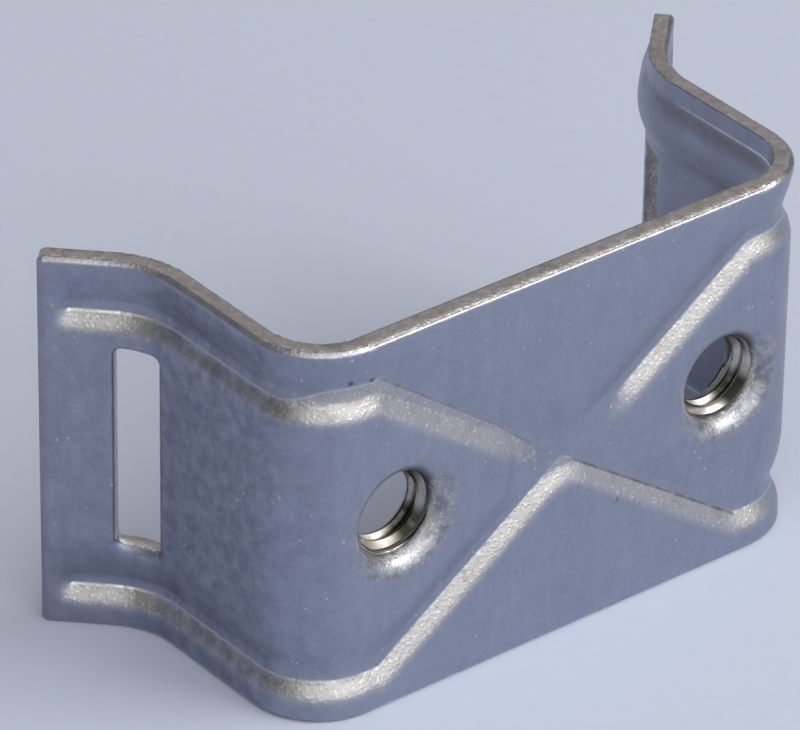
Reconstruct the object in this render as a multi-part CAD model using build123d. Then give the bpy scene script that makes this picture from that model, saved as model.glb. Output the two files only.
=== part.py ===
from build123d import *
import os
from math import atan, atan2, cos, degrees, hypot, radians, sin, tan

# Folded strip. Depth is measured from the outer face into the sheet. Millimetres.
STRIP_WIDTH = 38.0
SHEET = 1.9
WEB_HALF = 22.1            # middle of the web to the start of the side bend
SIDE_RADIUS = 7.3          # outer face of the bend from web to leg
SIDE_TURN = 90.0
LEG_LENGTH = 11.7          # flat of the leg between its two bends
FLARE_RADIUS = 8.0         # outer face, hollow side, of the bend from leg to lip
FLARE_TURN = 45.0
LIP_LENGTH = 6.5
LIP_CORNER = 0.6
EDGE_BREAK = 0.35          # sloping strip for the rolled outer edge of the blank

# Pressed beads: a flat floor between two sloping sides, proud on the inner face.
BEAD_OFFSET = 14.3         # centre line of a side bead, above and below mid height
BEAD_CORNER = 20.7         # where a side bead turns into its diagonal
BEAD_DEPTH = 0.9
FLOOR_HALF = 0.75
SLOPE_RUN = 1.75
BEAD_REACH = 5.4           # mouth of the bead along the lip
BEAD_END_RADIUS = 2.4
CRISP_TURN = (0.6, 3.0)    # corner of the falling bead at its mouth, inside and outside
SOFT_TURN = (1.4, 7.0)     # corner of the rising bead
CROSSING_RADIUS = 2.8      # between the arms of the crossing, at the mouth
SHOULDER_RADIUS = 2.0      # groove into the outer face; its floor and the ridge stay crisp

# Two extruded holes for M8 screws. The bore is the thread's minor diameter.
HOLE_OFFSET = 18.5
BORE_RADIUS = 3.35
MOUTH_RADIUS = 6.1         # the funnel where it meets the outer face
MOUTH_RISE = 0.03          # its rounding starts this far proud, so the mouth is a faint edge
FUNNEL_ROUND = 2.1
FUNNEL_TURN = 60.0         # slope of the wall that leads on to the bore
COLLAR_ROOT = 5.5          # radius where the collar leaves the sheet
COLLAR_TIP = 4.8
COLLAR_END = 5.0           # depth of the collar's rim
COLLAR_RIM = 0.25

# Strap slots, pierced across the flare.
SLOT_START = 1.7           # along the outer face, from the start of the flare
SLOT_WIDTH = 4.35
SLOT_HALF_LENGTH = 10.2
SLOT_CORNER = 0.7
SLOT_EDGE = 0.3

OVERCUT = 0.3              # how far a pressing form runs past the face it works on
CLEAR = 8.0                # how far cutting forms reach beyond the sheet
NEAR = 0.001

SLOPE_TURN = degrees(atan(BEAD_DEPTH / SLOPE_RUN))
OVERCUT_RUN = OVERCUT / tan(radians(SLOPE_TURN))
SPREAD = SHEET * tan(radians(SLOPE_TURN / 2))    # ridge wider than groove, each side
MOUTH_HALF = FLOOR_HALF + SLOPE_RUN
TOP = STRIP_WIDTH / 2


def strip_line():
    """Outer face of the right half, seen from above, from mid web to the lip's tip."""
    web = Line((0, 0), (WEB_HALF, 0))
    side = JernArc(web @ 1, web % 1, SIDE_RADIUS, SIDE_TURN)
    leg = Line(side @ 1, side @ 1 + (side % 1) * LEG_LENGTH)
    flare = JernArc(leg @ 1, leg % 1, FLARE_RADIUS, -FLARE_TURN)
    lip = Line(flare @ 1, flare @ 1 + (flare % 1) * LIP_LENGTH)
    return web, side, leg, flare, lip


def inward(along):
    """Direction into the sheet for a direction along the strip."""
    return Vector(-along.Y, along.X)


def rounded(sketch, corners, radius):
    """The sketch with the vertices at the given points rounded."""
    picked = sketch.vertices().filter_by(lambda v: any(hypot(v.X - x, v.Y - y) < NEAR for x, y in corners))
    return fillet(picked, radius)


def bead_line(level, spread):
    """One bead in section, on the face of the sheet at this level: (depth, height)."""
    floor = FLOOR_HALF + spread
    mouth = MOUTH_HALF + spread
    return [
        (level, BEAD_OFFSET - mouth),
        (level + BEAD_DEPTH, BEAD_OFFSET - floor),
        (level + BEAD_DEPTH, BEAD_OFFSET + floor),
        (level, BEAD_OFFSET + mouth),
    ]


def beaded_section():
    """The strip's section across both beads, X into the sheet and Y up."""
    groove = bead_line(0, 0)
    ridge = bead_line(SHEET, SPREAD)
    upper = [(0, 0)] + groove + [(0, TOP), (SHEET, TOP)] + ridge[::-1] + [(SHEET, 0)]
    section = make_face(Polyline(upper, close=True))
    section = rounded(section, [groove[0], groove[3]], SHOULDER_RADIUS)
    section = chamfer(section.vertices().group_by(Axis.X)[0].sort_by(Axis.Y)[-1], EDGE_BREAK)
    return section + mirror(section, Plane.XZ)


def station(edge):
    """Plane across the strip where an edge of its line starts."""
    along = edge % 0
    return Plane(edge @ 0, x_dir=inward(along), z_dir=along)


def side_panel():
    """Side bend, leg and flare: the beaded section carried along the strip's line."""
    web, side, leg, flare, lip = strip_line()
    section = beaded_section()
    bend = revolve(station(side) * section, Axis(side.arc_center, (0, 0, 1)), SIDE_TURN)
    straight = extrude(station(leg) * section, LEG_LENGTH)
    turn = revolve(station(flare) * section, Axis(flare.arc_center, (0, 0, -1)), FLARE_TURN)
    return bend + straight + turn


def diagonal_band(half, turn):
    """Outline of one bead across the web, from upper left to lower right."""
    far = WEB_HALF + CLEAR
    shift = half * tan(atan2(BEAD_OFFSET, BEAD_CORNER) / 2)
    inside = (-BEAD_CORNER - shift, BEAD_OFFSET - half)
    outside = (shift - BEAD_CORNER, BEAD_OFFSET + half)
    lower = [(-far, BEAD_OFFSET - half), inside, (-outside[0], -outside[1]), (far, -BEAD_OFFSET - half)]
    upper = [(-x, -y) for x, y in lower]
    band = make_face(Polyline(lower + upper, close=True))
    band = rounded(band, [inside, (-inside[0], -inside[1])], turn[0])
    return rounded(band, [outside, (-outside[0], -outside[1])], turn[1])


def crossing_outline(half):
    """Both beads of the web, with the four corners of their crossing rounded."""
    star = diagonal_band(half, CRISP_TURN) + mirror(diagonal_band(half, SOFT_TURN), Plane.XZ)
    corners = star.vertices().filter_by(lambda v: abs(v.X) < BEAD_CORNER / 2)
    return fillet(corners, CROSSING_RADIUS)


def lip_outline(half):
    """The closed ends of two side beads, from inside the flare to short of the tip."""
    reach = BEAD_REACH + half - MOUTH_HALF
    end = Pos((reach - CLEAR) / 2, 0) * Rectangle(reach + CLEAR, 2 * half)
    end = rounded(end, [(reach, -half), (reach, half)], BEAD_END_RADIUS)
    return Pos(0, BEAD_OFFSET) * end + Pos(0, -BEAD_OFFSET) * end


def bead_form(outline_of, level, spread):
    """What the tool displaces, from just short of one face of the sheet inwards."""
    outline = outline_of(MOUTH_HALF + OVERCUT_RUN + spread)
    return extrude(Pos(0, 0, level - OVERCUT) * outline, OVERCUT + BEAD_DEPTH, taper=90 - SLOPE_TURN)


def flat_panel(start, end):
    """A flat of the strip: X along the strip, Y up, Z into the sheet."""
    return Pos((start + end) / 2, 0, SHEET / 2) * Box(end - start, STRIP_WIDTH, SHEET)


def outer_edges(panel):
    """Edges of a flat panel that lie in its outer face."""
    return panel.edges().filter_by_position(Axis.Z, -NEAR, NEAR)


def pressed_panel(flat, outline_of):
    """The flat with its beads pressed and the outer edges of the blank broken."""
    bounds = flat.bounding_box()
    middle, length = bounds.center().X, bounds.size.X
    span = Pos(middle, 0, 0) * Box(length, STRIP_WIDTH, 4 * CLEAR)
    panel = flat + (bead_form(outline_of, SHEET, SPREAD) & span) - bead_form(outline_of, 0, 0)
    mouth = outer_edges(panel).filter_by(lambda e: abs((e @ 0.5).X - middle) < length / 2 - NEAR)
    panel = fillet(mouth.filter_by(lambda e: abs((e @ 0.5).Y) < TOP - LIP_CORNER), SHOULDER_RADIUS)
    return chamfer(outer_edges(panel).filter_by(lambda e: abs((e @ 0.5).Y) > TOP - NEAR), EDGE_BREAK)


def web_panel():
    panel = pressed_panel(flat_panel(-WEB_HALF, WEB_HALF), crossing_outline)
    return Plane((0, 0, 0), x_dir=(1, 0, 0), z_dir=(0, 1, 0)) * panel


def lip_panel():
    lip = strip_line()[-1]
    flat = flat_panel(0, LIP_LENGTH)
    corners = flat.edges().filter_by(Axis.Z).filter_by(lambda e: (e @ 0).X > LIP_LENGTH - NEAR)
    panel = pressed_panel(fillet(corners, LIP_CORNER), lip_outline)
    return Plane(lip @ 0, x_dir=lip % 0, z_dir=inward(lip % 0)) * panel


def collar_form():
    """The sleeve drawn inwards round one hole: X from its axis, Y into the sheet."""
    sleeve = Polyline(
        (0, SHEET / 2),
        (COLLAR_ROOT, SHEET / 2),
        (COLLAR_ROOT, SHEET),
        (COLLAR_TIP, COLLAR_END - COLLAR_RIM),
        (COLLAR_TIP - COLLAR_RIM, COLLAR_END),
        (0, COLLAR_END),
        close=True,
    )
    return revolve(make_face(sleeve), Axis.Y)


def passage_form():
    """Everything open in one hole: rounded funnel, bore and its broken inner edge."""
    mouth = (MOUTH_RADIUS, -MOUTH_RISE)
    top = Polyline((0, -CLEAR), (MOUTH_RADIUS, -CLEAR), mouth)
    brim = JernArc(mouth, (-1, 0), FUNNEL_ROUND, -FUNNEL_TURN)
    wall_rise = ((brim @ 1).X - BORE_RADIUS) * tan(radians(FUNNEL_TURN))
    bore = Polyline(
        brim @ 1,
        (BORE_RADIUS, (brim @ 1).Y + wall_rise),
        (BORE_RADIUS, COLLAR_END - COLLAR_RIM),
        (BORE_RADIUS + 2 * COLLAR_RIM, COLLAR_END + COLLAR_RIM),
        (0, COLLAR_END + COLLAR_RIM),
        (0, -CLEAR),
    )
    return revolve(make_face([top, brim, bore]), Axis.Y)


def cut_slot(panel):
    """The strap slot, its sides square to the sheet and its outer edge rolled."""
    centre = strip_line()[3].arc_center
    near, far = FLARE_RADIUS - CLEAR / 4, FLARE_RADIUS + SHEET + CLEAR / 4
    start = SLOT_START / FLARE_RADIUS
    end = (SLOT_START + SLOT_WIDTH) / FLARE_RADIUS
    rays = [(near, start), (far, start), (far, end), (near, end)]
    corners = [centre + Vector(-reach * cos(turn), reach * sin(turn)) for reach, turn in rays]
    wedge = extrude(make_face(Polyline(corners, close=True)), SLOT_HALF_LENGTH, both=True)
    radial = wedge.edges().filter_by(lambda e: abs(e.length - far + near) < NEAR)
    slotted = panel - fillet(radial, SLOT_CORNER)

    def on_outer_face(edge):
        points = [edge @ 0, edge @ 0.5, edge @ 1]
        level = max(abs(hypot(p.X - centre.X, p.Y - centre.Y) - FLARE_RADIUS) for p in points)
        return level < NEAR and max(abs(p.Z) for p in points) < SLOT_HALF_LENGTH + NEAR

    return fillet(slotted.edges().filter_by(on_outer_face), SLOT_EDGE)


def folded_bracket():
    """The whole stamping, centred over its lower long edge."""
    right = cut_slot(side_panel() + lip_panel())
    shape = web_panel() + right + mirror(right, Plane.YZ)
    for x in (-HOLE_OFFSET, HOLE_OFFSET):
        shape = shape + Pos(x, 0, 0) * collar_form() - Pos(x, 0, 0) * passage_form()
    bounds = shape.bounding_box()
    return Pos(-bounds.center().X, -bounds.center().Y, -bounds.min.Z) * shape


bracket = folded_bracket()
os.makedirs("parts", exist_ok=True)
export_step(bracket, "parts/bracket.step")
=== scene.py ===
import bpy
import math
from mathutils import Matrix, Vector


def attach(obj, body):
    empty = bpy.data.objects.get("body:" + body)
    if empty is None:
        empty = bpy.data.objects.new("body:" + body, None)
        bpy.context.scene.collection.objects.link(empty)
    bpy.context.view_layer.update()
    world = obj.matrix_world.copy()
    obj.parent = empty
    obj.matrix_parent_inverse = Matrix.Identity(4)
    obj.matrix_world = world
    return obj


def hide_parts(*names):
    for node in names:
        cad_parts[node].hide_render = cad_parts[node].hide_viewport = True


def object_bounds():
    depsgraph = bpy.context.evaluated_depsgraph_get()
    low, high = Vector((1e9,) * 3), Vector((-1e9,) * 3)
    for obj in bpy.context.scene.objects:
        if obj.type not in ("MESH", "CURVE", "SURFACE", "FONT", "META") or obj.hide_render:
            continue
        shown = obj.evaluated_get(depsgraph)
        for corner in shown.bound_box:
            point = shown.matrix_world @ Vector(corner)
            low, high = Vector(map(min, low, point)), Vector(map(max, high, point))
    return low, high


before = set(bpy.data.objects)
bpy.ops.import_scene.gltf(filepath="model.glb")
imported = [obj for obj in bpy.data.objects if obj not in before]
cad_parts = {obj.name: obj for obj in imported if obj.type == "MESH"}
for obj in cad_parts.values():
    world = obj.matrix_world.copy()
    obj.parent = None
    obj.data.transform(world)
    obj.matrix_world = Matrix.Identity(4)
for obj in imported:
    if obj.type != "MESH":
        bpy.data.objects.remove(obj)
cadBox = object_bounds()
scene = bpy.context.scene
scene.view_settings.view_transform = "Standard"

# the camera, with the small roll it was held at
cameraSetup = {
    "azimuth": -38.895,
    "elevation": 31.764,
    "roll": 0.854,
    "distance": 0.62385,
    "aim": (-0.0092186, -0.0029473, 0.025178),
    "lens": 318.82,
    "sensor": 36,
    "clip": (0.01, 30),
}


def placeCamera(setup):
    azimuth, elevation, roll = (math.radians(setup[key]) for key in ("azimuth", "elevation", "roll"))
    level = math.cos(elevation)
    back = Vector((math.sin(azimuth) * level, -math.cos(azimuth) * level, math.sin(elevation)))
    right = (-back).cross(Vector((0, 0, 1))).normalized()
    up = right.cross(-back)
    rolledRight = right * math.cos(roll) + up * math.sin(roll)
    rolledUp = up * math.cos(roll) - right * math.sin(roll)
    camera = bpy.data.objects.new("camera", bpy.data.cameras.new("camera"))
    camera.data.lens = setup["lens"]
    camera.data.sensor_width = setup["sensor"]
    camera.data.clip_start, camera.data.clip_end = setup["clip"]
    turned = Matrix((rolledRight, rolledUp, back)).transposed().to_4x4()
    camera.matrix_world = Matrix.Translation(Vector(setup["aim"]) + back * setup["distance"]) @ turned
    scene.collection.objects.link(camera)
    scene.camera = camera


placeCamera(cameraSetup)
print("camera placed")


def selectOnly(piece):
    bpy.ops.object.select_all(action="DESELECT")
    bpy.context.view_layer.objects.active = piece
    piece.select_set(True)


def applyModifier(piece, kind, **settings):
    selectOnly(piece)
    modifier = piece.modifiers.new(kind.lower(), kind)
    for key, value in settings.items():
        setattr(modifier, key, value)
    bpy.ops.object.modifier_apply(modifier=modifier.name)


def selectPoints(piece, wanted):    # leaves the piece in edit mode
    mesh = piece.data
    for parts in (mesh.polygons, mesh.edges):
        parts.foreach_set("select", [False] * len(parts))
    mesh.vertices.foreach_set("select", wanted)
    selectOnly(piece)
    bpy.ops.object.mode_set(mode="EDIT")
    bpy.ops.mesh.select_mode(type="VERT")


def ease(value, low, high):
    t = min(1.0, max(0.0, (value - low) / (high - low)))
    return t * t * (3 - 2 * t)


# the folded strip in millimetres: web, side bends, legs, flares and lips
strip = {
    "front": -15.2983,      # outer face of the web
    "middle": 19.0,         # mid height, and half the width
    "webHalf": 22.1,
    "sideRadius": 7.3,
    "leg": 11.7,
    "flareRadius": 8.0,
    "lip": 6.5,
}
beads = {
    "offset": 14.3,         # up and down from mid height, outside the web
    "corner": 20.7,         # where a diagonal meets its level run
    "mouth": 2.5,           # half width at the sheet's face
    "within": 18.0,         # heights from the middle that the beads stay inside
}
holes = {
    "offset": 18.5,
    "pitch": 1.25,
    "major": 4.02,
    "crest": 3.36,
    "end": 5.0,             # depth of the collar's end
    "throat": 1.47,         # depth where the funnel is as wide as the thread
    "wallSlope": 0.577,     # the funnel's narrowing with depth below there
}


# place on the strip: along it from mid web, into the sheet, up from mid height, and how far it has turned
def onStrip(point):
    x, y, height = abs(point.x) * 1000, point.y * 1000 - strip["front"], point.z * 1000 - strip["middle"]
    web, side, flare = strip["webHalf"], strip["sideRadius"], strip["flareRadius"]
    legEnd = side + strip["leg"]
    if x <= web and y < side:
        return x, y, height, 0.0
    if y <= side:
        turn = math.atan2(x - web, side - y)
        return web + side * turn, side - math.hypot(x - web, side - y), height, turn
    start = web + side * math.pi / 2
    if y <= legEnd:
        return start + y - side, web + side - x, height, math.pi / 2
    start += strip["leg"]
    centre = web + side + flare
    turn = math.atan2(y - legEnd, centre - x)
    if turn <= math.pi / 4:
        return start + flare * turn, math.hypot(centre - x, y - legEnd) - flare, height, math.pi / 2 - turn
    slant = math.sqrt(0.5)
    dx, dy = x - centre + flare * slant, y - legEnd - flare * slant
    return start + flare * math.pi / 4 + (dx + dy) * slant, (dy - dx) * slant, height, math.pi / 4


# distance across the nearest bead, positive on its upper side, and how surely that is the falling arm
def acrossBead(x, along, height):
    if along > beads["corner"]:
        return height - math.copysign(beads["offset"], height), 0.0
    length = math.hypot(beads["corner"], beads["offset"])
    rising = (height * beads["corner"] - x * beads["offset"]) / length
    falling = (height * beads["corner"] + x * beads["offset"]) / length
    if abs(rising) < abs(falling):
        return rising, 0.0
    return falling, ease(abs(rising), 1.6, 3.0)


stripEnd = strip["webHalf"] + strip["sideRadius"] * math.pi / 2 + strip["leg"]
stripEnd += strip["flareRadius"] * math.pi / 4 + strip["lip"]
print("strip laid out, half length", round(stripEnd, 2))


# cutter that opens a bore to the thread's full width, ring by ring: (radius, depth)
boreRings = (
    (holes["major"], 0.5),
    (holes["major"], holes["end"] - 0.3),
    (holes["major"] + 0.5, holes["end"] + 0.2),
    (holes["major"] + 0.5, 7.0),
)


def turnedPiece(name, rings, centreX, segments=96):
    radius, depth = rings[0]
    bpy.ops.object.select_all(action="DESELECT")
    place = Vector((centreX, strip["front"] + depth, strip["middle"])) / 1000
    bpy.ops.mesh.primitive_circle_add(vertices=segments, radius=radius / 1000, location=place,
                                      rotation=(math.pi / 2, 0, 0))
    piece = bpy.context.object
    piece.name = name
    bpy.ops.object.transform_apply()
    bpy.ops.object.mode_set(mode="EDIT")
    bpy.ops.mesh.select_all(action="SELECT")
    bpy.ops.mesh.edge_face_add()
    for nextRadius, nextDepth in rings[1:]:
        bpy.ops.mesh.extrude_region_move(TRANSFORM_OT_translate={"value": (0, (nextDepth - depth) / 1000, 0)})
        ratio = nextRadius / radius
        centre = Vector((centreX, strip["front"] + nextDepth, strip["middle"])) / 1000
        bpy.ops.transform.resize(value=(ratio, 1, ratio), center_override=centre)
        radius, depth = nextRadius, nextDepth
    bpy.ops.mesh.select_all(action="SELECT")
    bpy.ops.mesh.normals_make_consistent(inside=False)
    bpy.ops.object.mode_set(mode="OBJECT")
    return piece


# the steel body: a merged copy, opened for the threads, remeshed finely, then softened where the
# press left it soft
bodyShape = {
    "merge": 0.000001,      # metres; vertices nearer than this are one
    "voxel": 0.0002,        # metres
    "crease": 17,           # degrees; sharper creases stay as they are
    "bendPasses": 24,       # over the facets of bends and funnels
    "crest": (2.25, 2.95),  # depths in millimetres where the ridges on the inner face are softened
    "crestPasses": 35,
    "upper": (0.2, 1.2),    # each groove's upper side is softened from this far across to this depth
    "upperPasses": 75,
    "keep": 0.33,           # share of faces kept at the end
    "inset": 0.000001,      # metres kept clear of the frame's box
}


def makeBody(shape):
    body = bpy.data.objects.new("bracketSteel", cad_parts["bracket"].data.copy())
    scene.collection.objects.link(body)
    selectOnly(body)
    bpy.ops.object.mode_set(mode="EDIT")
    bpy.ops.mesh.select_all(action="SELECT")
    bpy.ops.mesh.remove_doubles(threshold=shape["merge"])
    bpy.ops.mesh.customdata_custom_splitnormals_clear()
    bpy.ops.object.mode_set(mode="OBJECT")
    for side in (-1, 1):
        cutter = turnedPiece("cutter", boreRings, side * holes["offset"])
        applyModifier(body, "BOOLEAN", operation="DIFFERENCE", solver="EXACT", object=cutter)
        bpy.data.objects.remove(cutter)
    applyModifier(body, "REMESH", mode="VOXEL", voxel_size=shape["voxel"])
    print("body remeshed", len(body.data.polygons))

    bpy.ops.object.mode_set(mode="EDIT")
    bpy.ops.mesh.select_mode(type="EDGE")
    bpy.ops.mesh.select_all(action="DESELECT")
    bpy.ops.mesh.edges_select_sharp(sharpness=math.radians(shape["crease"]))
    bpy.ops.mesh.select_mode(type="VERT")
    bpy.ops.mesh.select_all(action="INVERT")
    bpy.ops.mesh.vertices_smooth(factor=0.5, repeat=shape["bendPasses"])
    bpy.ops.object.mode_set(mode="OBJECT")

    crest, upper = [], []
    upperSide, upperDepth = shape["upper"]
    for vertex in body.data.vertices:
        along, depth, height, turn = onStrip(vertex.co)
        across = acrossBead(vertex.co.x * 1000, along, height)[0]
        onBead = abs(across) < beads["mouth"] + 2 and along < stripEnd - 0.8 and abs(height) < beads["within"]
        crest.append(onBead and shape["crest"][0] < depth < shape["crest"][1])
        upper.append(onBead and depth < upperDepth and across > upperSide)
    for wanted, passes in ((crest, shape["crestPasses"]), (upper, shape["upperPasses"])):
        selectPoints(body, wanted)
        bpy.ops.mesh.vertices_smooth(factor=1.0, repeat=passes)
        bpy.ops.object.mode_set(mode="OBJECT")
    applyModifier(body, "DECIMATE", ratio=shape["keep"])
    low, high = ([corner + shift for corner in corners]
                 for corners, shift in zip(cadBox, (shape["inset"], -shape["inset"])))
    for vertex in body.data.vertices:    # nothing stands out of the frame's box
        vertex.co = [min(max(c, a), b) for c, a, b in zip(vertex.co, low, high)]
    selectOnly(body)
    bpy.ops.object.shade_smooth()
    applyModifier(body, "WEIGHTED_NORMAL", mode="FACE_AREA", weight=80)
    print("body shaped", len(body.data.polygons))
    return body


# marks on the body that its finish, its painted highlights and its painted shade follow, in millimetres on
# the strip
bodyMarks = {
    "band": (-3.0, -0.6),       # drawn metal and painted highlight, across the lit side of a groove
    "grooveEnd": 56.0,          # along the strip from mid web
    "holeBand": 6.4,            # radius of the drawn metal and painted highlight round a hole
    "holeHighlight": 0.85,          # strength of that drawn metal and painted highlight
    "onset": (4.0, 9.0),        # along, where the painted highlight on the far rising arm begins
    "rootDepth": (1.5, 1.8),    # where the painted highlight along the root starts to show, towards the inner face
    "rootRun": (27, 45),        # along
    "nearCreaseShade": 0.4,          # strength of the painted shade line on each falling arm
    "farCreaseShade": 0.85,
    "edge": (18.45, 18.75),     # height of the burnished edge and its painted highlight
    "holeWearAndShade": 0.6,            # strength of the dark patches round a hole: rubbed wear, and painted shade dimming the painted highlight there
    "rubbedAndShaded": ((-36.9, 10.0, 2.3), (-39.5, 10.2, 1.9), (-42.3, 9.4, 1.6),    # along, height and radius
               (-41.2, -5.6, 2.4), (-35.6, -4.8, 2.6), (-37.0, 2.8, 3.0)),
    "specks": ((-24.0, 15.4, 0.28), (-21.6, 15.0, 0.22), (6.0, -7.5, 0.2)),
    "cutFrom": 27,              # along; nearer the middle, a cut face is also clear of the holes
    "holeClear": 7.5,
}
markNames = ("drawn", "burnishedAndHighlight", "rubbedAndShaded", "across", "creaseShade", "creaseHighlight", "rootHighlight")


def facingOut(point, turn):    # the way the sheet's outer face looks there
    return Vector((math.sin(turn) * math.copysign(1, point.x), -math.cos(turn), 0))


def roundHole(along, height):    # distance from the nearer hole's middle
    return math.hypot(along - holes["offset"], height)


def spotted(spots, along, height, reach, width):    # how surely the place is in one of the spots
    return max(ease(reach - math.hypot(along - u, height - h) / radius, 0, width) for u, h, radius in spots)


def markBody(body, setup):
    mesh = body.data
    marks = {name: [] for name in markNames}
    places = []
    for vertex, normal in zip(mesh.vertices, mesh.vertex_normals):
        x = vertex.co.x * 1000
        along, depth, height, turn = onStrip(vertex.co)
        side = math.copysign(1, x)
        across, falling = acrossBead(x, along, height)
        raised = across
        if side < 0 and height > 0:    # the painted highlight band and its crease reach higher up the near corner of the upper bead
            raised -= (0.4 + 0.04 * along) * ease(along, 2, 8) * ease(31 - along, 0, 6)
        onset = ease(along, *setup["onset"]) if side > 0 and height > 0 else 1.0

        # painted highlight with drawn metal round each hole, strongest on the funnel's lower side
        around = roundHole(along, height)
        below = (0.5 * (x - side * holes["offset"]) - 0.85 * height) / max(around, 0.1)
        inHole = 0.0
        if along < 25:
            inHole = ease(setup["holeBand"] - around, 0, 0.9) * (0.3 + 0.7 * ease(below, -0.4, 0.5))
        # painted highlight with drawn metal on the lit lower side of each groove, dimmer on falling arms and
        # legs
        low, high = setup["band"]
        slope = ease(-raised, -high, 0.3 - high) * ease(across - low, 0, 0.9)
        slope *= ease(setup["grooveEnd"] - along, -1.0, 1.0) * ease(1.5 - depth, 0, 0.3)
        slope *= 1 - ease(1 - abs(normal.vector.dot(facingOut(vertex.co, turn))), 0.35, 0.6)
        slope *= (1 - 0.2 * falling) * (1 - 0.45 * ease(turn, 1.2, 1.5)) * onset
        if side > 0:    # the painted highlight fades on the far bend
            slope *= 1 - 0.7 * ease(turn, 0.1, 0.6)
        marks["drawn"].append(max(setup["holeHighlight"] * inHole, slope))

        # painted highlight along the root of each ridge on the inner face
        first, last = setup["rootRun"]
        root = ease(depth, *setup["rootDepth"]) * ease(along, first, first + 3) * ease(last - along, 0, 2)
        marks["rootHighlight"].append(root if 0 < across < 4 else 0.0)
        outside = 1.0 if depth < 1.3 and abs(height) < beads["within"] and abs(across) < 3.2 else 0.0
        marks["across"].append(raised)
        # painted shade along the crease of each falling arm, and painted highlight along the crease of each
        # rising arm
        marks["creaseShade"].append(falling * outside * (setup["farCreaseShade"] if side > 0 else setup["nearCreaseShade"]))
        creaseHighlightRun = (0.25 + 0.75 * ease(along, 47, 50)) * ease(setup["grooveEnd"] - along, 0.3, 0.8)
        marks["creaseHighlight"].append((1 - falling) * outside * onset * creaseHighlightRun)
        # burnished edge with a painted highlight along it
        marks["burnishedAndHighlight"].append(ease(abs(height), *setup["edge"]) * ease(0.75 - depth, 0, 0.3))

        along *= side
        # rubbed patches and specks, with painted shade round each hole and on the near leg
        stainAndShade = spotted(setup["rubbedAndShaded"], along, height, 1.7, 1.4)
        stainAndShade = max(stainAndShade, 2 * spotted(setup["specks"], along, height, 1.4, 0.8), setup["holeWearAndShade"] * inHole)
        if side < 0:    # painted shade: the near leg is darker all over, more so where it turns to face sideways
            stainAndShade = max(stainAndShade, 0.2 * ease(turn, 0.3, 0.7) + 0.25 * ease(turn, 1.0, 1.5))
        marks["rubbedAndShaded"].append(stainAndShade if depth < 1 else 0.0)
        places += [along / 1000, depth / 1000, height / 1000]
    for name in markNames:
        mesh.attributes.new(name, "FLOAT", "POINT").data.foreach_set("value", marks[name])
    mesh.attributes.new("place", "FLOAT_VECTOR", "POINT").data.foreach_set("vector", places)

    cuts = []
    for face in mesh.polygons:    # cut faces stand square to the sheet and take the second material
        along, depth, height, turn = onStrip(face.center)
        square = abs(face.normal.dot(facingOut(face.center, turn))) < 0.5
        clear = along > setup["cutFrom"] or roundHole(along, height) > setup["holeClear"]
        cuts.append(int(square and clear))
    mesh.polygons.foreach_set("material_index", cuts)


body = makeBody(bodyShape)
markBody(body, bodyMarks)
print("body marked")


# tapped threads: one closed coil in each bore
threadShape = {
    "start": 1.225,         # depth of the first turn's middle, at the right of the bore
    "turns": 2.82,
    "steps": 90,            # per turn
    "fade": 0.35,           # turns over which it runs out at the rim
    "foot": 4.12,           # buried in the wall
    "footHalf": 0.6,
    "crestHalf": 0.11,
    "bevel": 0.05,
    "smooth": 50,           # degrees
    "darkReflectionAt": -46,          # degrees round from the right, where the painted dark reflection sits
    "darkReflectionReach": (14, 36),  # degrees to each side of that, solid and then fading
    "phases": (0.0, 2.2),   # radians round at which the left and the right coil start
}


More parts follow.
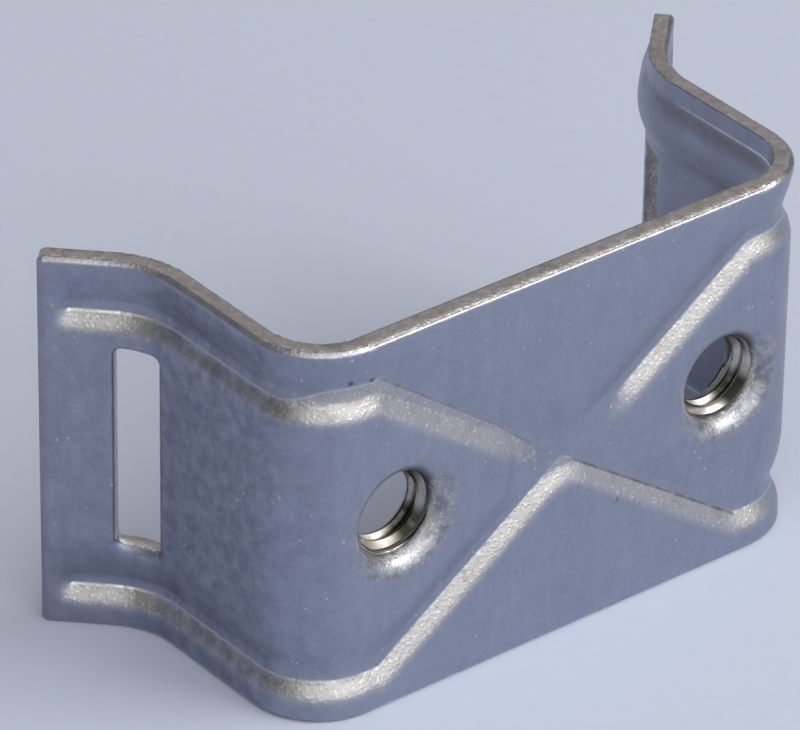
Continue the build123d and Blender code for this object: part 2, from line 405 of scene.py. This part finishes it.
def makeThread(name, centreX, phase, shape):
    bpy.ops.object.select_all(action="DESELECT")
    bpy.ops.mesh.primitive_plane_add(size=1, location=(0, 0, 0))
    thread = bpy.context.object
    thread.name = name
    corners = [(radius, half * way) for way in (-1, 1)
               for radius, half in ((shape["foot"], shape["footHalf"]), (holes["crest"], shape["crestHalf"]))]
    for vertex, (radius, rise) in zip(thread.data.vertices, corners):
        vertex.co = (radius / 1000, 0, rise / 1000)
    crestPoints = [abs(vertex.co.x - holes["crest"] / 1000) < 0.000001 for vertex in thread.data.vertices]
    selectPoints(thread, crestPoints)
    bpy.ops.mesh.bevel(offset=shape["bevel"] / 1000, segments=3, affect="VERTICES")
    bpy.ops.mesh.select_all(action="SELECT")
    bpy.ops.mesh.delete(type="ONLY_FACE")
    bpy.ops.object.mode_set(mode="OBJECT")
    turns = shape["turns"]
    steps = int(turns * shape["steps"])
    applyModifier(thread, "SCREW", angle=2 * math.pi * turns, screw_offset=holes["pitch"] * turns / 1000,
                  steps=steps, render_steps=steps, axis="Z", use_merge_vertices=False)
    bpy.ops.object.mode_set(mode="EDIT")
    bpy.ops.mesh.select_all(action="DESELECT")
    bpy.ops.mesh.select_non_manifold()
    bpy.ops.mesh.fill_holes(sides=0)
    bpy.ops.mesh.select_all(action="SELECT")
    bpy.ops.mesh.normals_make_consistent(inside=False)
    bpy.ops.object.mode_set(mode="OBJECT")
    darkReflection = []
    solid, faint = shape["darkReflectionReach"]
    turned = Matrix.Rotation(phase, 4, "Y") @ Matrix.Rotation(-math.pi / 2, 4, "X")
    for vertex in thread.data.vertices:    # run out into the funnel and the broken rim
        point = turned @ vertex.co
        depth = point.y * 1000 + shape["start"]
        radius = math.hypot(point.x, point.z) * 1000
        angle = (math.atan2(-point.z, point.x) - phase) / (2 * math.pi) % 1
        turn = round((depth - shape["start"]) / holes["pitch"] - angle) + angle
        least = max(holes["major"] - (depth - holes["throat"]) * holes["wallSlope"],
                    holes["crest"] + 0.8 * (depth - holes["end"] + 0.45),
                    holes["crest"] + 0.75 * ease(turn, turns - shape["fade"], turns - 0.02))
        if radius < least:
            grown = min(least, shape["foot"]) / radius
            point.x *= grown
            point.z *= grown
        depth = min(max(depth, holes["throat"] + 0.03), holes["end"] - 0.04)
        vertex.co = (point.x + centreX / 1000, (depth + strip["front"]) / 1000,
                     point.z + strip["middle"] / 1000)
        # painted dark reflection, solid near one angle round the bore and fading to each side
        off = abs((math.degrees(math.atan2(point.z, point.x)) - shape["darkReflectionAt"] + 180) % 360 - 180)
        darkReflection.append(ease(faint - off, 0, faint - solid))
    thread.data.attributes.new("darkReflection", "FLOAT", "POINT").data.foreach_set("value", darkReflection)
    selectOnly(thread)
    bpy.ops.object.shade_smooth_by_angle(angle=math.radians(shape["smooth"]))
    return thread


threads = [makeThread(name, centreX, phase, threadShape) for name, centreX, phase
           in zip(("threadLeft", "threadRight"), (-holes["offset"], holes["offset"]), threadShape["phases"])]
print("threads cut")


# node helpers
def addNode(tree, kind, values=None, **settings):
    node = tree.nodes.new(kind)
    for key, value in settings.items():
        setattr(node, key, value)
    for key, value in (values or {}).items():
        node.inputs[key].default_value = value
    return node


def blendColour(tree, factor, first, second, how="MIX"):
    node = addNode(tree, "ShaderNodeMix", data_type="RGBA", blend_type=how)
    for socket, value in ((node.inputs[0], factor), (node.inputs[6], first), (node.inputs[7], second)):
        if isinstance(value, bpy.types.NodeSocket):
            tree.links.new(value, socket)
        else:
            socket.default_value = value
    return node.outputs[2]


def calculate(tree, how, *values, clamp=False):
    node = addNode(tree, "ShaderNodeMath", operation=how, use_clamp=clamp)
    for socket, value in zip(node.inputs, values):
        if isinstance(value, bpy.types.NodeSocket):
            tree.links.new(value, socket)
        else:
            socket.default_value = value
    return node.outputs[0]


def stretch(tree, value, low, high, newLow, newHigh):
    ends = {"From Min": low, "From Max": high, "To Min": newLow, "To Max": newHigh}
    node = addNode(tree, "ShaderNodeMapRange", ends)
    tree.links.new(value, node.inputs["Value"])
    return node.outputs[0]


def product(tree, first, second, *more, clamp=False):
    result = calculate(tree, "MULTIPLY", first, second, clamp=clamp)
    for value in more:
        result = calculate(tree, "MULTIPLY", result, value)
    return result


def readMark(tree, name):
    return addNode(tree, "ShaderNodeAttribute", attribute_name=name).outputs["Fac"]


# grain shared by the three steels: a fine height, small flecks and a cloudy mask
def makeGrainGroup():
    group = bpy.data.node_groups.new("metalGrain", "ShaderNodeTree")
    group.interface.new_socket(name="Vector", in_out="INPUT", socket_type="NodeSocketVector")
    numbers = {"INPUT": ("Fine Scale", "Cloud Scale"), "OUTPUT": ("Grain", "Flecks", "Clouds")}
    for direction, names in numbers.items():
        for name in names:
            group.interface.new_socket(name=name, in_out=direction, socket_type="NodeSocketFloat")
    given, result = addNode(group, "NodeGroupInput"), addNode(group, "NodeGroupOutput")
    fine = addNode(group, "ShaderNodeTexNoise", {"Detail": 3.0, "Roughness": 0.6})
    flecks = addNode(group, "ShaderNodeTexVoronoi", feature="F1")
    clouds = addNode(group, "ShaderNodeTexNoise", {"Detail": 5.0, "Roughness": 0.62, "Distortion": 0.4})
    for node, scale in ((fine, "Fine Scale"), (flecks, "Fine Scale"), (clouds, "Cloud Scale")):
        group.links.new(given.outputs["Vector"], node.inputs["Vector"])
        group.links.new(given.outputs[scale], node.inputs["Scale"])
    group.links.new(fine.outputs[0], result.inputs["Grain"])
    group.links.new(stretch(group, flecks.outputs["Distance"], 0.0, 0.55, 1.0, 0.0), result.inputs["Flecks"])
    group.links.new(stretch(group, clouds.outputs[0], 0.3, 0.7, 0.0, 1.0), result.inputs["Clouds"])
    return group


grainGroup = makeGrainGroup()


def addGrain(tree, where, look):
    grain = addNode(tree, "ShaderNodeGroup", node_tree=grainGroup)
    grain.inputs["Fine Scale"].default_value = look["grain"]
    grain.inputs["Cloud Scale"].default_value = look["clouds"]
    tree.links.new(where, grain.inputs["Vector"])
    return grain.outputs


def bumpUp(tree, shader, height, relief):
    bump = addNode(tree, "ShaderNodeBump", {"Strength": 1.0, "Distance": relief})
    tree.links.new(height, bump.inputs["Height"])
    tree.links.new(bump.outputs[0], shader.inputs["Normal"])


def newMaterial(name, values):
    material = bpy.data.materials.new(name)
    material.use_nodes = True
    shader = material.node_tree.nodes["Principled BSDF"]
    for key, value in values.items():
        shader.inputs[key].default_value = value
    return material, material.node_tree, shader


sheetSteel = {
    # plain and cloud: the steel's cool tone, tinted blue partly as a painted reflection of a blue ground
    "plain": (0.350, 0.370, 0.465, 1),
    "cloud": (0.290, 0.312, 0.400, 1),
    # drawn metal colour, also a painted highlight
    "drawn": (0.50, 0.49, 0.465, 1),
    # painted glint colour for sparkles, pinpricks and highlight lines
    "paintedGlint": (0.90, 0.88, 0.84, 1),
    "dust": (0.22, 0.18, 0.13, 1),
    # painted shade colour for the crease line
    "crease": (0.14, 0.12, 0.11, 1),
    # rubbed wear and painted shade, dark and tinted blue
    "rubbedAndShaded": (0.10, 0.12, 0.20, 1),
    # burnished edge colour, partly a painted highlight
    "burnishedAndHighlight": (0.52, 0.51, 0.50, 1),
    "roughness": 0.37,
    "grain": 3000.0,
    "clouds": 210.0,
    "streaks": (900.0, 900.0, 160.0),    # along the strip, into it and up it
    "blotches": 650.0,
    "glints": 5400.0,
    "creaseAt": -0.8,       # millimetres across the bead, on the outer face
    "rootAt": 2.95,         # and on the inner one
    "relief": 0.000012,
}


def makeSheetSteel(look):
    material, tree, shader = newMaterial("sheetSteel", {"Metallic": 1.0, "Specular IOR Level": 0.5})
    link = tree.links.new
    where = addNode(tree, "ShaderNodeTexCoord").outputs["Object"]
    marks = {name: readMark(tree, name) for name in markNames}
    grain = addGrain(tree, where, look)
    place = addNode(tree, "ShaderNodeAttribute", attribute_name="place").outputs["Vector"]
    lengthwise = addNode(tree, "ShaderNodeMapping", {"Scale": look["streaks"]})
    link(place, lengthwise.inputs["Vector"])
    streaks = addNode(tree, "ShaderNodeTexNoise", {"Scale": 1.0, "Detail": 3.0})
    link(lengthwise.outputs[0], streaks.inputs["Vector"])
    blotches = addNode(tree, "ShaderNodeTexNoise",
                       {"Scale": look["blotches"], "Detail": 4.0, "Roughness": 0.65})
    link(where, blotches.inputs["Vector"])
    blotched = blotches.outputs[0]
    glints = addNode(tree, "ShaderNodeTexVoronoi", {"Scale": look["glints"]}, feature="F1")
    link(where, glints.inputs["Vector"])
    chance = addNode(tree, "ShaderNodeSeparateColor")
    link(glints.outputs["Color"], chance.inputs[0])

    # the plain sheet: clouds, speckles and faint streaks
    colour = blendColour(tree, product(tree, grain["Clouds"], 0.8), look["plain"], look["cloud"])
    speckled = stretch(tree, grain["Grain"], 0.3, 0.7, 0.93, 1.07)
    streaky = product(tree, stretch(tree, streaks.outputs[0], 0.35, 0.65, 0.975, 1.025), speckled)
    shade = addNode(tree, "ShaderNodeCombineColor")
    for socket in shade.inputs[:3]:
        link(streaky, socket)
    colour = blendColour(tree, 1.0, colour, shade.outputs[0], "MULTIPLY")

    # drawn metal with its painted highlight and painted glints, and a few painted pinpricks of light
    # elsewhere
    colour = blendColour(tree, product(tree, marks["drawn"], 0.75), colour, look["drawn"])
    workedAndHighlight = calculate(tree, "ADD", marks["drawn"], marks["burnishedAndHighlight"], clamp=True)
    bright = stretch(tree, chance.outputs[0], 0.86, 1.0, 0.0, 1.0)
    colour = blendColour(tree, product(tree, workedAndHighlight, 0.55, bright), colour, look["paintedGlint"])
    glintPinpricks = stretch(tree, chance.outputs[1], 0.997, 1.0, 0.0, 0.6)
    colour = blendColour(tree, glintPinpricks, colour, look["paintedGlint"])

    # wear and painted light: rubbed patches with painted shade, dust on the drawn metal, and the burnished
    # edge with its painted highlight
    patchy = stretch(tree, blotched, 0.38, 0.62, 0.1, 1.0)
    colour = blendColour(tree, product(tree, patchy, marks["rubbedAndShaded"], clamp=True), colour, look["rubbedAndShaded"])
    dusty = product(tree, marks["drawn"], stretch(tree, blotched, 0.55, 0.72, 0.0, 0.4))
    colour = blendColour(tree, dusty, colour, look["dust"])
    worn = product(tree, marks["burnishedAndHighlight"], stretch(tree, blotched, 0.38, 0.58, 0.1, 0.8))
    colour = blendColour(tree, worn, colour, look["burnishedAndHighlight"])

    # broken painted lines: painted shade along the crease of each falling arm, painted highlight along the
    # crease of each rising arm, and a painted highlight along the root on the inner face
    broken = stretch(tree, blotched, 0.35, 0.55, 0.4, 0.95)
    offCrease = calculate(tree, "ABSOLUTE", calculate(tree, "SUBTRACT", marks["across"], look["creaseAt"]))
    crease = stretch(tree, offCrease, 0.04, 0.19, 1.0, 0.0)
    colour = blendColour(tree, product(tree, crease, marks["creaseShade"], broken), colour, look["crease"])
    colour = blendColour(tree, product(tree, crease, marks["creaseHighlight"], broken), colour, look["paintedGlint"])
    offRoot = calculate(tree, "ABSOLUTE", calculate(tree, "SUBTRACT", marks["across"], look["rootAt"]))
    root = stretch(tree, offRoot, 0.02, 0.14, 1.0, 0.0)
    colour = blendColour(tree, product(tree, root, marks["rootHighlight"], broken), colour, look["paintedGlint"])
    link(colour, shader.inputs["Base Color"])

    rough = stretch(tree, grain["Clouds"], 0.0, 1.0, look["roughness"] - 0.04, look["roughness"] + 0.05)
    for name, change in (("drawn", -0.06), ("rubbedAndShaded", 0.06), ("burnishedAndHighlight", -0.1)):
        rough = calculate(tree, "ADD", rough, product(tree, marks[name], change))
    link(rough, shader.inputs["Roughness"])

    coarse = calculate(tree, "ADD", product(tree, workedAndHighlight, 2.4), 0.3)
    grainy = calculate(tree, "ADD", grain["Grain"], product(tree, grain["Flecks"], 0.5))
    height = calculate(tree, "ADD", product(tree, grainy, coarse), product(tree, blotched, 0.3))
    bumpUp(tree, shader, height, look["relief"])
    return material


cutSteel = {
    "torn": (0.90, 0.86, 0.88, 1),
    "burr": (0.50, 0.45, 0.44, 1),
    "glint": (0.96, 0.94, 0.92, 1),
    "roughness": (0.30, 0.48),
    "grain": 2600.0,
    "clouds": 900.0,
    "relief": 0.00007,
}


def makeCutSteel(look):
    material, tree, shader = newMaterial("cutSteel", {"Metallic": 1.0})
    link = tree.links.new
    grain = addGrain(tree, addNode(tree, "ShaderNodeTexCoord").outputs["Object"], look)
    colour = blendColour(tree, product(tree, grain["Clouds"], 0.75), look["torn"], look["burr"])
    glinting = stretch(tree, grain["Flecks"], 0.65, 0.95, 0.0, 0.9)
    link(blendColour(tree, glinting, colour, look["glint"]), shader.inputs["Base Color"])
    link(stretch(tree, grain["Grain"], 0.3, 0.7, *look["roughness"]), shader.inputs["Roughness"])
    height = calculate(tree, "ADD", grain["Grain"], product(tree, grain["Flecks"], 0.4))
    bumpUp(tree, shader, height, look["relief"])
    return material


threadSteel = {
    "colour": (0.50, 0.485, 0.46, 1),
    "shadow": (0.24, 0.22, 0.20, 1),
    # painted dark reflection on one side of each bore
    "darkReflection": (0.025, 0.027, 0.02, 1),
    "roughness": (0.22, 0.34),
    "grain": 2200.0,
    "clouds": 500.0,
    "relief": 0.000004,
}


def makeThreadSteel(look):
    material, tree, shader = newMaterial("threadSteel", {"Metallic": 1.0})
    link = tree.links.new
    grain = addGrain(tree, addNode(tree, "ShaderNodeTexCoord").outputs["Object"], look)
    colour = blendColour(tree, grain["Clouds"], look["colour"], look["shadow"])
    # painted dark reflection on one side of each bore, broken up by clouds
    darkReflecting = product(tree, readMark(tree, "darkReflection"), stretch(tree, grain["Clouds"], 0.0, 0.6, 0.8, 1.0))
    link(blendColour(tree, darkReflecting, colour, look["darkReflection"]), shader.inputs["Base Color"])
    link(stretch(tree, grain["Clouds"], 0.0, 1.0, *look["roughness"]), shader.inputs["Roughness"])
    bumpUp(tree, shader, grain["Grain"], look["relief"])
    return material


tapped = makeThreadSteel(threadSteel)
finishes = [(body, (makeSheetSteel(sheetSteel), makeCutSteel(cutSteel)))]
finishes += [(thread, (tapped,)) for thread in threads]
for piece, materials in finishes:
    for number, material in enumerate(materials):
        if number < len(piece.data.materials):
            piece.data.materials[number] = material
        else:
            piece.data.materials.append(material)
    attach(piece, "root")
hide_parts("bracket")
print("steel finished")


# pale floor, one soft lamp and a studio sky that is brighter in front
studio = {
    "floor": (0.56, 0.62, 0.76, 1),
    "floorSize": 6,
    "weave": 700.0,
    "skyLow": 0.25,
    "skyHigh": 1.7,
    "skyColour": (1.0, 0.98, 0.95, 1),
    "front": (-0.05, -0.87, 0.49),
    "key": {"from": (0.22, -0.30, 0.30), "size": (0.28, 0.20), "power": 0.85, "colour": (1.0, 0.97, 0.93)},
}


def makeFloor():
    bpy.ops.object.select_all(action="DESELECT")
    bpy.ops.mesh.primitive_plane_add(size=studio["floorSize"], location=(0, 0, 0))
    floor = bpy.context.object
    floor.name = "floor"
    material, tree, shader = newMaterial("paleFloor", {"Roughness": 0.9, "Specular IOR Level": 0.2})
    where = addNode(tree, "ShaderNodeTexCoord").outputs["Object"]
    weave = addNode(tree, "ShaderNodeTexNoise", {"Scale": studio["weave"], "Detail": 3.0})
    tree.links.new(where, weave.inputs["Vector"])
    tone = studio["floor"]
    darker = tuple(c * 0.95 for c in tone[:3]) + (1,)
    tree.links.new(blendColour(tree, weave.outputs[0], darker, tone), shader.inputs["Base Color"])
    floor.data.materials.append(material)


def makeLamp(name, lamp):
    light = bpy.data.lights.new(name, "AREA")
    light.shape = "RECTANGLE"
    light.size, light.size_y = lamp["size"]
    light.energy = lamp["power"]
    light.color = lamp["colour"]
    holder = bpy.data.objects.new(name, light)
    holder.location = lamp["from"]
    holder.rotation_euler = (Vector((0, 0, 0.02)) - Vector(lamp["from"])).to_track_quat("-Z", "Y").to_euler()
    scene.collection.objects.link(holder)


def makeSky():
    world = bpy.data.worlds.new("studioSky")
    scene.world = world
    world.use_nodes = True
    tree = world.node_tree
    background = tree.nodes["Background"]
    background.inputs["Color"].default_value = studio["skyColour"]
    towards = addNode(tree, "ShaderNodeVectorMath", operation="DOT_PRODUCT")
    tree.links.new(addNode(tree, "ShaderNodeTexCoord").outputs["Generated"], towards.inputs[0])
    towards.inputs[1].default_value = Vector(studio["front"]).normalized()
    strength = stretch(tree, towards.outputs["Value"], 0.25, 0.95, studio["skyLow"], studio["skyHigh"])
    tree.links.new(strength, background.inputs["Strength"])


makeFloor()
makeLamp("keyLamp", studio["key"])
makeSky()
print("studio lit")
